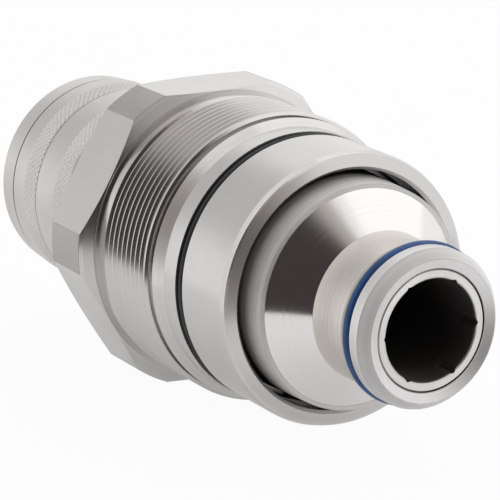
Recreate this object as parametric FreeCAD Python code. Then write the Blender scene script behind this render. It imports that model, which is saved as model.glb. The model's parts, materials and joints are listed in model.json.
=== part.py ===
import FreeCAD, Part
import math
import os

# Flat face hydraulic coupler, cartridge type, lying on a hexagon flat.
# Millimetres. The X axis is the coupler's own axis and points to the nose,
# +Z is up, and the origin is on the axis at the shoulder in front of the hexagon.

# Driving dimensions

# Hexagon and block thread
HEX_ACROSS_FLATS = 50.0
HEX_LAND_RADIUS = 27.15
HEX_LENGTH = 12.4
HEX_CHAMFER_LENGTH = 1.25
HEX_CHAMFER_DROP = 2.2
WASHER_FACE_HEIGHT = 0.35
WASHER_FACE_RADIUS = 24.85
THREAD_RADIUS = 24.4
THREAD_PITCH = 1.5
THREAD_TURNS = 9.5
THREAD_NECK_LENGTH = 2.3
THREAD_EDGE = 0.4
UNDERCUT_WIDTH = 1.05
UNDERCUT_DEPTH = 1.0

# Collar and pilot
HOUSING_COLLAR_STEP = 0.6
HOUSING_COLLAR_TAPER = 2.0
HOUSING_COLLAR_DROP = 1.05
HOUSING_COLLAR_LAND = 3.7
PILOT_RADIUS = 22.5
PILOT_LENGTH = 12.0
PILOT_BEVEL_LENGTH = 0.9
PILOT_BEVEL_DROP = 0.3
PILOT_STEP = 0.45
PILOT_LIP_LENGTH = 0.5
PILOT_LIP_RADIUS = 20.2
PILOT_RING_SECTION = 1.4
PILOT_GROOVE_WIDTH = 1.5

# Float of the core in the housing
CHAMBER_RADIUS = 19.7
FLOAT_TRAVEL = 4.0
SHANK_RADIUS = 15.7
STOP_FLANGE_LENGTH = 3.5
STOP_WALL = 2.0
GUIDE_BUSH_LENGTH = 7.5
GUIDE_BUSH_WALL = 1.95
FLOAT_SPRING_LENGTH = 25.4
FLOAT_SPRING_WIRE = 1.6
FLOAT_SPRING_ROOM = 0.9
FLOAT_SPRING_TURNS = 4
SPRING_SEAT_LENGTH = 2.0
RETAINING_RING_LENGTH = 1.5
RETAINING_RING_HEIGHT = 2.9
RETAINING_GROOVE_DEPTH = 1.1
RETAINING_RING_GAP = 40.0

# Tail piece
TAIL_STANDOFF = 1.0
TAIL_BARREL_RADIUS = 17.7
TAIL_BARREL_LENGTH = 10.9
TAIL_CONE_LENGTH = 6.0
TAIL_CONE_EDGE = 0.3
TAIL_NECK_RADIUS = 12.1
TAIL_NECK_LENGTH = 8.2
TAIL_SEAL_WIDTH = 2.0
TAIL_BACKUP_WIDTH = 1.0
TAIL_BACKUP_STEP = 0.3
TAIL_GROOVE_RADIUS = 10.7
NOSE_RADIUS = 12.7
NOSE_LAND_LENGTH = 2.0
NOSE_RIM_LENGTH = 1.05
NOSE_RIM_DROP = 0.6
NOSE_DISH_DEPTH = 0.25
NOSE_LIP_RADIUS = 10.65
NOSE_LIP_HEIGHT = 1.0
NOSE_LIP_EDGE = 0.15
NOSE_MOUTH_RADIUS = 10.1
NOSE_SEAT_RADIUS = 9.9
NOSE_SEAT_DEPTH = 0.95
NOSE_SEAT_LENGTH = 1.0
TAIL_BORE_RADIUS = 8.1
TAIL_SPIGOT_RADIUS = 14.6
TAIL_SPIGOT_LENGTH = 7.5
TAIL_JOINT_WALL = 1.2
BUSH_RADIUS = 9.7
BUSH_LENGTH = 6.0
BUSH_RECESS = 0.6
BUSH_KEY_ACROSS_FLATS = 14.9
BUSH_KEY_DEPTH = 4.0

# Mouth, locking balls and flat face valve
MOUTH_RADIUS = 12.35
MOUTH_LEAD_IN = 0.8
MOUTH_RIM_INSET = 0.5
SOCKET_RADIUS = 14.9
BALL_RADIUS = 2.0
BALL_COUNT = 8
BALL_DEPTH = 8.0
BALL_INTRUSION = 1.3
BALL_SEAT_DEPTH = 0.7
BALL_LIFT_RATIO = 0.3
VALVE_FACE_INSET = 2.0
STEM_HEAD_RADIUS = 7.0
STEM_HEAD_LENGTH = 5.0
STEM_TAPER_LENGTH = 2.8
STEM_RADIUS = 3.2
STEM_END_LENGTH = 2.0
STEM_END_CHAMFER = 1.0
STEM_RING_SECTION = 1.2
SHUTOFF_NECK_RADIUS = 10.75
SHUTOFF_NECK_LENGTH = 9.5
SHUTOFF_LENGTH = 24.5
SHUTOFF_BORE_RADIUS = 9.4
SHUTOFF_SPRING_WIRE = 1.0
SHUTOFF_SPRING_TURNS = 3
FLOW_RADIUS = 10.4
SPIDER_SETBACK = 1.1
SPIDER_LENGTH = 3.0
SPIDER_RIM = 1.6
SPIDER_HUB_RADIUS = 4.8
SPIDER_ARM_WIDTH = 2.6
SPIDER_ARMS = 3
SPIDER_RING_LENGTH = 1.2
SPIDER_RING_HEIGHT = 1.9
SPIDER_GROOVE_DEPTH = 0.8
PROBE_GROOVE_WALL = 1.8
PROBE_RING_SECTION = 1.5
PROBE_BACKUP_WIDTH = 1.2
MOUTH_RING_LENGTH = 1.9
MOUTH_RING_SEAT = 0.8

# Release sleeve
SLEEVE_RADIUS = 18.5
SLEEVE_RIM_RADIUS = 18.1
SLEEVE_RIM_LENGTH = 4.9
SLEEVE_LENGTH = 14.0
SLEEVE_TRAVEL = 5.0
SLEEVE_SPARE_GAP = 2.0
SLEEVE_RELIEF_RADIUS = 16.75
SLEEVE_LAND_LENGTH = 1.85
SLEEVE_WALL = 0.85
SLEEVE_SCREW_LENGTH = 3.8
SLEEVE_SCREW_STEP = 0.4
SLEEVE_BORE_EDGE = 0.6
SLEEVE_LINE_WIDTH = 0.5
SLEEVE_LINE_DEPTH = 0.35
SLEEVE_COLLAR_LENGTH = 11.6
SLEEVE_COLLAR_LIP = 1.0
SLEEVE_SEAT_LENGTH = 1.5
SLEEVE_SEAT_RADIUS = 17.0
SLEEVE_SPRING_WIRE = 1.0
SLEEVE_SPRING_TURNS = 3
KNURL_DEPTH = 0.2
FRONT_KNURL_LENGTH = 4.6
REAR_KNURL_LENGTH = 5.0

# Clearances and edges. EDGE_SHARE is the most of a wall that a broken edge takes, SEAL_ROOM a groove's
# width over its seal's, and OVERSHOOT how far a cutting or joining shape runs past the face it meets.
RUNNING_CLEARANCE = 0.05
FREE_CLEARANCE = 0.3
BALL_CLEARANCE = 0.15
EDGE_BREAK = 0.3
EDGE_SHARE = 0.25
SEAL_ROOM = 1.2
OVERSHOOT = 1.0

# Derived stations along the axis, from the mouth to the nose
SLEEVE_GAP = SLEEVE_TRAVEL + FLOAT_TRAVEL + SLEEVE_SPARE_GAP
HEX_REAR = -HEX_LENGTH
SLEEVE_COLLAR_END = HEX_REAR - SLEEVE_GAP
SLEEVE_PARTING = SLEEVE_COLLAR_END - SLEEVE_COLLAR_LENGTH
SLEEVE_SCREW_END = SLEEVE_PARTING + SLEEVE_SCREW_LENGTH
SLEEVE_FRONT = SLEEVE_PARTING - SLEEVE_LENGTH
MOUTH_FACE = SLEEVE_FRONT + MOUTH_RIM_INSET
BALL_STATION = MOUTH_FACE + BALL_DEPTH
SEAT_SHOULDER = SLEEVE_COLLAR_END - SLEEVE_COLLAR_LIP
VALVE_FACE = MOUTH_FACE + VALVE_FACE_INSET
SHUTOFF_END = VALVE_FACE + SHUTOFF_LENGTH
STOP_FACE = HEX_REAR + GUIDE_BUSH_LENGTH + STOP_WALL
THREAD_END = THREAD_NECK_LENGTH + THREAD_TURNS * THREAD_PITCH
HOUSING_COLLAR_START = THREAD_END + UNDERCUT_WIDTH
HOUSING_COLLAR_EDGE = HOUSING_COLLAR_START + HOUSING_COLLAR_TAPER
GROOVE_START = HOUSING_COLLAR_EDGE + HOUSING_COLLAR_LAND
PILOT_START = GROOVE_START + PILOT_GROOVE_WIDTH
PILOT_EDGE = PILOT_START + PILOT_LENGTH
PILOT_STEP_FACE = PILOT_EDGE + PILOT_BEVEL_LENGTH
PILOT_FRONT = PILOT_STEP_FACE + PILOT_LIP_LENGTH
FLANGE_FRONT = STOP_FACE + STOP_FLANGE_LENGTH
SPRING_SEAT = FLANGE_FRONT + FLOAT_SPRING_LENGTH
RETAINING_RING = SPRING_SEAT + SPRING_SEAT_LENGTH
TAIL_REAR = RETAINING_RING + RETAINING_RING_LENGTH + TAIL_STANDOFF
CONE_START = TAIL_REAR + TAIL_BARREL_LENGTH
CONE_END = CONE_START + TAIL_CONE_LENGTH
SEAL_GROOVE = CONE_END + TAIL_NECK_LENGTH
SEAL_GROOVE_END = SEAL_GROOVE + TAIL_BACKUP_WIDTH + TAIL_SEAL_WIDTH
NOSE_EDGE = SEAL_GROOVE_END + NOSE_LAND_LENGTH
NOSE_RIM = NOSE_EDGE + NOSE_RIM_LENGTH
NOSE_FLOOR = NOSE_RIM - NOSE_DISH_DEPTH
NOSE_LIP = NOSE_FLOOR + NOSE_LIP_HEIGHT
BUSH_FRONT = NOSE_LIP - BUSH_RECESS
BUSH_REAR = BUSH_FRONT - BUSH_LENGTH
SPIGOT_END = TAIL_REAR + TAIL_SPIGOT_LENGTH
TAIL_JOINT_END = SPIGOT_END - TAIL_JOINT_WALL
SPIDER_SEAT = STOP_FACE - SPIDER_SETBACK
SPIDER_FRONT = SPIDER_SEAT - SPIDER_LENGTH
SPIDER_RING = SPIDER_FRONT - SPIDER_RING_LENGTH

# Derived radii and the ball ramp
HEX_FACE_RADIUS = HEX_LAND_RADIUS - HEX_CHAMFER_DROP
HOUSING_COLLAR_RADIUS = THREAD_RADIUS - HOUSING_COLLAR_STEP
GROOVE_SHOULDER_RADIUS = HOUSING_COLLAR_RADIUS - HOUSING_COLLAR_DROP
BUSH_BORE_RADIUS = SHANK_RADIUS + RUNNING_CLEARANCE
BUSH_SEAT_RADIUS = BUSH_BORE_RADIUS + GUIDE_BUSH_WALL
RETAINING_GROOVE_RADIUS = CHAMBER_RADIUS + RETAINING_GROOVE_DEPTH
SLEEVE_BORE_RADIUS = SOCKET_RADIUS + RUNNING_CLEARANCE
KNURL_RADIUS = SLEEVE_RADIUS - KNURL_DEPTH
SPIDER_GROOVE_RADIUS = MOUTH_RADIUS + SPIDER_GROOVE_DEPTH
SCREW_RADIUS = SLEEVE_SEAT_RADIUS + SLEEVE_SCREW_STEP
BALL_PITCH_RADIUS = MOUTH_RADIUS - BALL_INTRUSION + BALL_RADIUS
RAMP_ANGLE = math.atan(BALL_LIFT_RATIO)
RAMP_RADIUS_AT_BALL = BALL_PITCH_RADIUS + (BALL_RADIUS + BALL_CLEARANCE) / math.cos(RAMP_ANGLE)
RAMP_START = BALL_STATION + (RAMP_RADIUS_AT_BALL - SLEEVE_BORE_RADIUS) / BALL_LIFT_RATIO
RAMP_END = RAMP_START - (SLEEVE_RELIEF_RADIUS - SLEEVE_BORE_RADIUS) / BALL_LIFT_RATIO
SLEEVE_SPRING_POCKET = RAMP_START + SLEEVE_LAND_LENGTH
PROBE_GROOVE = BALL_STATION + BALL_RADIUS + PROBE_GROOVE_WALL
PROBE_BACKUP = PROBE_GROOVE + PROBE_RING_SECTION * SEAL_ROOM
PROBE_GROOVE_END = PROBE_BACKUP + PROBE_BACKUP_WIDTH

AXIS = FreeCAD.Vector(1, 0, 0)
ORIGIN = FreeCAD.Vector(0, 0, 0)


def turned(*points):
    """Solid turned about the coupler's axis from a closed outline of (station, radius) points."""
    corners = [FreeCAD.Vector(x, 0, r) for x, r in points]
    face = Part.Face(Part.makePolygon(corners + corners[:1]))
    return face.revolve(ORIGIN, AXIS, 360)


def tube(start, end, inner, outer):
    """Plain ring from start to end with both outer edges and both bore edges broken."""
    e = min(EDGE_BREAK, EDGE_SHARE * (outer - inner), EDGE_SHARE * (end - start))
    return turned((start, inner + e), (start + e, inner), (end - e, inner), (end, inner + e),
                  (end, outer - e), (end - e, outer), (start + e, outer), (start, outer - e))


def square_ring(station, inner, outer):
    """Seal ring of square section with broken edges, centred on a station."""
    half = (outer - inner) / 2
    return tube(station - half, station + half, inner, outer)


def round_ring(station, inner, outer):
    """Seal ring of round section centred on a station."""
    return Part.makeTorus((inner + outer) / 2, (outer - inner) / 2, FreeCAD.Vector(station, 0, 0), AXIS)


def hexagon(start, end, across_flats):
    """Hexagonal bar along the axis with a flat facing straight up and another straight down."""
    corner = across_flats / math.sqrt(3)
    points = [FreeCAD.Vector(start, corner * math.cos(k * math.pi / 3), corner * math.sin(k * math.pi / 3))
              for k in range(6)]
    face = Part.Face(Part.makePolygon(points + points[:1]))
    return face.extrude(FreeCAD.Vector(end - start, 0, 0))


def flat_wire_spring(start, end, inner, outer, wire, turns):
    """Compression spring of flat wire, wound on edge between two faces."""
    rise = end - start - wire
    helix = Part.Wire(Part.makeHelix(rise / turns, rise, inner))
    corners = [FreeCAD.Vector(inner, 0, 0), FreeCAD.Vector(outer, 0, 0),
               FreeCAD.Vector(outer, 0, wire), FreeCAD.Vector(inner, 0, wire)]
    section = Part.makePolygon(corners + corners[:1])
    coil = helix.makePipeShell([section], True, True)
    coil.rotate(ORIGIN, FreeCAD.Vector(0, 1, 0), 90)
    coil.translate(FreeCAD.Vector(start, 0, 0))
    return coil


def make_housing():
    """Hexagon, block thread, collar, seal groove and pilot, bored through for the floating core."""
    head = hexagon(HEX_REAR, 0, HEX_ACROSS_FLATS)
    head = head.common(turned(
        (HEX_REAR, 0), (0, 0), (0, WASHER_FACE_RADIUS),
        (-WASHER_FACE_HEIGHT, WASHER_FACE_RADIUS),
        (-WASHER_FACE_HEIGHT, HEX_FACE_RADIUS),
        (-WASHER_FACE_HEIGHT - HEX_CHAMFER_LENGTH, HEX_LAND_RADIUS),
        (HEX_REAR + HEX_CHAMFER_LENGTH, HEX_LAND_RADIUS),
        (HEX_REAR, HEX_FACE_RADIUS)))
    floor_radius = PILOT_RADIUS - PILOT_RING_SECTION
    bevel_radius = PILOT_RADIUS - PILOT_BEVEL_DROP
    body = turned(
        (-OVERSHOOT, 0), (-OVERSHOOT, THREAD_RADIUS),
        (THREAD_END - THREAD_EDGE, THREAD_RADIUS), (THREAD_END, THREAD_RADIUS - THREAD_EDGE),
        (THREAD_END, THREAD_RADIUS - UNDERCUT_DEPTH),
        (HOUSING_COLLAR_START, THREAD_RADIUS - UNDERCUT_DEPTH),
        (HOUSING_COLLAR_START, HOUSING_COLLAR_RADIUS),
        (HOUSING_COLLAR_EDGE, GROOVE_SHOULDER_RADIUS),
        (GROOVE_START, GROOVE_SHOULDER_RADIUS), (GROOVE_START, floor_radius),
        (PILOT_START, floor_radius), (PILOT_START, PILOT_RADIUS - EDGE_BREAK),
        (PILOT_START + EDGE_BREAK, PILOT_RADIUS), (PILOT_EDGE, PILOT_RADIUS),
        (PILOT_STEP_FACE, bevel_radius), (PILOT_STEP_FACE, bevel_radius - PILOT_STEP),
        (PILOT_FRONT, PILOT_LIP_RADIUS), (PILOT_FRONT, 0))
    groove_end = RETAINING_RING + RETAINING_RING_LENGTH
    lip_taper = PILOT_LIP_RADIUS - CHAMBER_RADIUS
    bore = turned(
        (HEX_REAR - OVERSHOOT, 0), (HEX_REAR - OVERSHOOT, BUSH_SEAT_RADIUS),
        (STOP_FACE - STOP_WALL, BUSH_SEAT_RADIUS),
        (STOP_FACE - STOP_WALL, SHANK_RADIUS + FREE_CLEARANCE),
        (STOP_FACE, SHANK_RADIUS + FREE_CLEARANCE), (STOP_FACE, CHAMBER_RADIUS),
        (RETAINING_RING, CHAMBER_RADIUS), (RETAINING_RING, RETAINING_GROOVE_RADIUS),
        (groove_end, RETAINING_GROOVE_RADIUS), (groove_end, CHAMBER_RADIUS),
        (PILOT_FRONT - lip_taper, CHAMBER_RADIUS),
        (PILOT_FRONT + OVERSHOOT, PILOT_LIP_RADIUS + OVERSHOOT), (PILOT_FRONT + OVERSHOOT, 0))
    return head.fuse(body).removeSplitter().cut(bore)


def make_retaining_ring():
    """Split ring sprung into the pilot's bore, open at the bottom."""
    end = RETAINING_RING + RETAINING_RING_LENGTH
    inner = RETAINING_GROOVE_RADIUS - RETAINING_RING_HEIGHT
    ring = turned((RETAINING_RING, inner), (end, inner), (end, RETAINING_GROOVE_RADIUS),
                  (RETAINING_RING, RETAINING_GROOVE_RADIUS))
    half_width = inner * math.tan(math.radians(RETAINING_RING_GAP / 2))
    depth = RETAINING_GROOVE_RADIUS + OVERSHOOT
    gap = Part.makeBox(RETAINING_RING_LENGTH, 2 * half_width, depth,
                       FreeCAD.Vector(RETAINING_RING, -half_width, -depth))
    return ring.cut(gap)


def ball_hole(angle):
    """Radial hole for one locking ball, narrowed at its inner end so that the ball can't drop through."""
    hole_radius = BALL_RADIUS + RUNNING_CLEARANCE
    seat = math.sqrt(BALL_RADIUS ** 2 - BALL_SEAT_DEPTH ** 2) + RUNNING_CLEARANCE
    base = FreeCAD.Vector(BALL_STATION, 0, 0)
    out = FreeCAD.Vector(0, math.cos(angle), math.sin(angle))
    seat_bottom = base + out * (BALL_PITCH_RADIUS - BALL_SEAT_DEPTH - OVERSHOOT)
    taper_bottom = base + out * (BALL_PITCH_RADIUS - BALL_SEAT_DEPTH)
    cylinder_bottom = base + out * BALL_PITCH_RADIUS
    hole = Part.makeCylinder(hole_radius, BALL_RADIUS * 2, cylinder_bottom, out)
    taper = Part.makeCone(seat, hole_radius, BALL_SEAT_DEPTH, taper_bottom, out)
    throat = Part.makeCylinder(seat, OVERSHOOT, seat_bottom, out)
    return hole.fuse([taper, throat])


def make_socket_body():
    """Long tube of the core: mouth with ball holes, guided shank, stop flange and tail spigot."""
    ring_seat_radius = SOCKET_RADIUS - MOUTH_RING_SEAT
    ring_seat_end = MOUTH_FACE + MOUTH_RING_LENGTH
    joint_floor = TAIL_SPIGOT_RADIUS - PROBE_RING_SECTION
    joint_start = TAIL_JOINT_END - PROBE_RING_SECTION * SEAL_ROOM
    flange_radius = CHAMBER_RADIUS - FREE_CLEARANCE
    body = turned(
        (MOUTH_FACE, 0), (MOUTH_FACE, ring_seat_radius), (ring_seat_end, ring_seat_radius),
        (ring_seat_end, SOCKET_RADIUS), (SEAT_SHOULDER, SOCKET_RADIUS), (SEAT_SHOULDER, SHANK_RADIUS),
        (STOP_FACE, SHANK_RADIUS), (STOP_FACE, flange_radius - EDGE_BREAK),
        (STOP_FACE + EDGE_BREAK, flange_radius), (FLANGE_FRONT - EDGE_BREAK, flange_radius),
        (FLANGE_FRONT, flange_radius - EDGE_BREAK), (FLANGE_FRONT, SHANK_RADIUS),
        (TAIL_REAR, SHANK_RADIUS), (TAIL_REAR, TAIL_SPIGOT_RADIUS),
        (joint_start, TAIL_SPIGOT_RADIUS), (joint_start, joint_floor), (TAIL_JOINT_END, joint_floor),
        (TAIL_JOINT_END, TAIL_SPIGOT_RADIUS), (SPIGOT_END, TAIL_SPIGOT_RADIUS), (SPIGOT_END, 0))
    groove_radius = MOUTH_RADIUS + PROBE_RING_SECTION
    bore = turned(
        (MOUTH_FACE - OVERSHOOT, 0), (MOUTH_FACE - OVERSHOOT, MOUTH_RADIUS + MOUTH_LEAD_IN + OVERSHOOT),
        (MOUTH_FACE + MOUTH_LEAD_IN, MOUTH_RADIUS), (PROBE_GROOVE, MOUTH_RADIUS),
        (PROBE_GROOVE, groove_radius), (PROBE_GROOVE_END, groove_radius), (PROBE_GROOVE_END, MOUTH_RADIUS),
        (SPIDER_RING, MOUTH_RADIUS), (SPIDER_RING, SPIDER_GROOVE_RADIUS),
        (SPIDER_FRONT, SPIDER_GROOVE_RADIUS), (SPIDER_FRONT, MOUTH_RADIUS),
        (SPIDER_SEAT, MOUTH_RADIUS), (SPIDER_SEAT, FLOW_RADIUS),
        (SPIGOT_END + OVERSHOOT, FLOW_RADIUS), (SPIGOT_END + OVERSHOOT, 0))
    body = body.cut(bore)
    holes = [ball_hole(2 * math.pi * k / BALL_COUNT) for k in range(BALL_COUNT)]
    return body.cut(holes)


def make_tail_piece():
    """Barrel screwed on the socket body's spigot, cone, neck and grooved nose with a dished front."""
    seat_end = NOSE_LIP - NOSE_SEAT_DEPTH
    seat_start = seat_end - NOSE_SEAT_LENGTH
    cone_edge_drop = TAIL_CONE_EDGE * (TAIL_BARREL_RADIUS - TAIL_NECK_RADIUS) / TAIL_CONE_LENGTH
    rim_shoulder = NOSE_RADIUS - NOSE_RIM_DROP / 3
    outside = turned(
        (TAIL_REAR, 0), (TAIL_REAR, TAIL_BARREL_RADIUS - EDGE_BREAK),
        (TAIL_REAR + EDGE_BREAK, TAIL_BARREL_RADIUS), (CONE_START - TAIL_CONE_EDGE, TAIL_BARREL_RADIUS),
        (CONE_START + TAIL_CONE_EDGE, TAIL_BARREL_RADIUS - cone_edge_drop),
        (CONE_END, TAIL_NECK_RADIUS), (SEAL_GROOVE, TAIL_NECK_RADIUS), (SEAL_GROOVE, TAIL_GROOVE_RADIUS),
        (SEAL_GROOVE_END, TAIL_GROOVE_RADIUS), (SEAL_GROOVE_END, NOSE_RADIUS),
        (NOSE_EDGE, NOSE_RADIUS), (NOSE_RIM - NOSE_RIM_LENGTH / 3, rim_shoulder),
        (NOSE_RIM, NOSE_RADIUS - NOSE_RIM_DROP), (NOSE_FLOOR, NOSE_LIP_RADIUS),
        (NOSE_LIP - NOSE_LIP_EDGE, NOSE_LIP_RADIUS), (NOSE_LIP, NOSE_LIP_RADIUS - NOSE_LIP_EDGE),
        (NOSE_LIP, NOSE_MOUTH_RADIUS + NOSE_LIP_EDGE), (NOSE_LIP - NOSE_LIP_EDGE, NOSE_MOUTH_RADIUS),
        (seat_end, NOSE_SEAT_RADIUS), (seat_end, 0))
    bore = turned(
        (TAIL_REAR - OVERSHOOT, 0), (TAIL_REAR - OVERSHOOT, TAIL_SPIGOT_RADIUS),
        (SPIGOT_END, TAIL_SPIGOT_RADIUS), (SPIGOT_END, FLOW_RADIUS),
        (SPIGOT_END + FLOW_RADIUS - TAIL_BORE_RADIUS, TAIL_BORE_RADIUS),
        (BUSH_REAR, TAIL_BORE_RADIUS), (BUSH_REAR, BUSH_RADIUS), (seat_start, BUSH_RADIUS),
        (seat_start, NOSE_SEAT_RADIUS), (NOSE_LIP, NOSE_SEAT_RADIUS), (NOSE_LIP, 0))
    return outside.cut(bore)


def make_hex_bush():
    """Screwed bush in the nose whose bore has the six corners of a hexagon socket."""
    bush = tube(BUSH_REAR, BUSH_FRONT, TAIL_BORE_RADIUS, BUSH_RADIUS)
    return bush.cut(hexagon(BUSH_FRONT - BUSH_KEY_DEPTH, BUSH_FRONT + OVERSHOOT, BUSH_KEY_ACROSS_FLATS))


def make_valve_stem():
    """Fixed stem with a flat round head that fills the middle of the mouth."""
    head_end = VALVE_FACE + STEM_HEAD_LENGTH
    groove_middle = VALVE_FACE + STEM_HEAD_LENGTH / 2
    groove_floor = STEM_HEAD_RADIUS - STEM_RING_SECTION
    half_groove = STEM_RING_SECTION * SEAL_ROOM / 2
    stem_end = SPIDER_SEAT + STEM_END_LENGTH
    return turned(
        (VALVE_FACE, 0), (VALVE_FACE, STEM_HEAD_RADIUS), (groove_middle - half_groove, STEM_HEAD_RADIUS),
        (groove_middle - half_groove, groove_floor), (groove_middle + half_groove, groove_floor),
        (groove_middle + half_groove, STEM_HEAD_RADIUS), (head_end, STEM_HEAD_RADIUS),
        (head_end + STEM_TAPER_LENGTH, STEM_RADIUS), (stem_end - STEM_END_CHAMFER, STEM_RADIUS),
        (stem_end, STEM_RADIUS - STEM_END_CHAMFER), (stem_end, 0))


def make_stem_spider():
    """Rim, arms and hub that hold the stem in the middle of the flow."""
    rim_radius = MOUTH_RADIUS - RUNNING_CLEARANCE
    rim = turned((SPIDER_FRONT, rim_radius - SPIDER_RIM), (SPIDER_SEAT, rim_radius - SPIDER_RIM),
                 (SPIDER_SEAT, rim_radius), (SPIDER_FRONT, rim_radius))
    hub = turned((SPIDER_FRONT, STEM_RADIUS), (SPIDER_SEAT, STEM_RADIUS),
                 (SPIDER_SEAT, SPIDER_HUB_RADIUS), (SPIDER_FRONT, SPIDER_HUB_RADIUS))
    arms = []
    for k in range(SPIDER_ARMS):
        inner = (STEM_RADIUS + SPIDER_HUB_RADIUS) / 2
        arm = Part.makeBox(SPIDER_LENGTH, SPIDER_ARM_WIDTH, rim_radius - SPIDER_RIM / 2 - inner,
                           FreeCAD.Vector(SPIDER_FRONT, -SPIDER_ARM_WIDTH / 2, inner))
        arm.rotate(ORIGIN, AXIS, 360 / SPIDER_ARMS * k)
        arms.append(arm)
    return rim.fuse([hub] + arms).removeSplitter()


def make_shutoff_sleeve():
    """Sliding sleeve that closes the ring between the stem's head and the socket's bore."""
    slide_radius = MOUTH_RADIUS - RUNNING_CLEARANCE
    neck_end = VALVE_FACE + SHUTOFF_NECK_LENGTH
    seal_bore = STEM_HEAD_RADIUS + RUNNING_CLEARANCE
    seal_end = VALVE_FACE + STEM_HEAD_LENGTH
    bore_start = seal_end + SHUTOFF_BORE_RADIUS - seal_bore
    return turned(
        (VALVE_FACE, seal_bore), (seal_end, seal_bore), (bore_start, SHUTOFF_BORE_RADIUS),
        (SHUTOFF_END, SHUTOFF_BORE_RADIUS), (SHUTOFF_END, slide_radius),
        (neck_end + EDGE_BREAK, slide_radius), (neck_end, slide_radius - EDGE_BREAK),
        (neck_end, SHUTOFF_NECK_RADIUS),
        (VALVE_FACE + EDGE_BREAK, SHUTOFF_NECK_RADIUS), (VALVE_FACE, SHUTOFF_NECK_RADIUS - EDGE_BREAK))


def make_release_sleeve():
    """Front half of the sleeve: rim, first knurled band, ball ramp and screwed end."""
    rim_end = SLEEVE_FRONT + SLEEVE_RIM_LENGTH
    line_end = rim_end + SLEEVE_LINE_WIDTH
    knurl_end = SLEEVE_PARTING - EDGE_BREAK
    knurl_start = knurl_end - FRONT_KNURL_LENGTH
    return turned(
        (SLEEVE_FRONT, SLEEVE_RELIEF_RADIUS + SLEEVE_BORE_EDGE),
        (SLEEVE_FRONT + SLEEVE_BORE_EDGE, SLEEVE_RELIEF_RADIUS),
        (RAMP_END, SLEEVE_RELIEF_RADIUS), (RAMP_START, SLEEVE_BORE_RADIUS),
        (SLEEVE_SPRING_POCKET, SLEEVE_BORE_RADIUS), (SLEEVE_SPRING_POCKET, SCREW_RADIUS - SLEEVE_WALL),
        (SLEEVE_SCREW_END, SCREW_RADIUS - SLEEVE_WALL), (SLEEVE_SCREW_END, SCREW_RADIUS),
        (SLEEVE_PARTING, SCREW_RADIUS),
        (SLEEVE_PARTING, SLEEVE_RADIUS - EDGE_BREAK), (knurl_end, SLEEVE_RADIUS),
        (knurl_end, KNURL_RADIUS), (knurl_start, KNURL_RADIUS), (knurl_start, SLEEVE_RADIUS),
        (line_end, SLEEVE_RADIUS), (line_end, SLEEVE_RIM_RADIUS - SLEEVE_LINE_DEPTH),
        (rim_end, SLEEVE_RIM_RADIUS - SLEEVE_LINE_DEPTH), (rim_end, SLEEVE_RIM_RADIUS + EDGE_BREAK),
        (SLEEVE_FRONT + EDGE_BREAK, SLEEVE_RIM_RADIUS), (SLEEVE_FRONT, SLEEVE_RIM_RADIUS - EDGE_BREAK))


def make_sleeve_collar():
    """Rear half of the sleeve: smooth band, second knurled band and the lip that stops on the seat ring."""
    bore = SLEEVE_SEAT_RADIUS + RUNNING_CLEARANCE
    knurl_end = SLEEVE_COLLAR_END - EDGE_BREAK
    knurl_start = knurl_end - REAR_KNURL_LENGTH
    return turned(
        (SLEEVE_PARTING, SCREW_RADIUS), (SLEEVE_SCREW_END, SCREW_RADIUS), (SLEEVE_SCREW_END, bore),
        (SEAT_SHOULDER, bore), (SEAT_SHOULDER, BUSH_BORE_RADIUS), (SLEEVE_COLLAR_END, BUSH_BORE_RADIUS),
        (SLEEVE_COLLAR_END, SLEEVE_RADIUS - EDGE_BREAK),
        (knurl_end, SLEEVE_RADIUS), (knurl_end, KNURL_RADIUS), (knurl_start, KNURL_RADIUS),
        (knurl_start, SLEEVE_RADIUS), (SLEEVE_PARTING + EDGE_BREAK, SLEEVE_RADIUS),
        (SLEEVE_PARTING, SLEEVE_RADIUS - EDGE_BREAK))


def make_ball(angle):
    """One locking ball, resting on the narrow end of its hole."""
    centre = FreeCAD.Vector(BALL_STATION, BALL_PITCH_RADIUS * math.cos(angle),
                            BALL_PITCH_RADIUS * math.sin(angle))
    return Part.makeSphere(BALL_RADIUS, centre)


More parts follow.
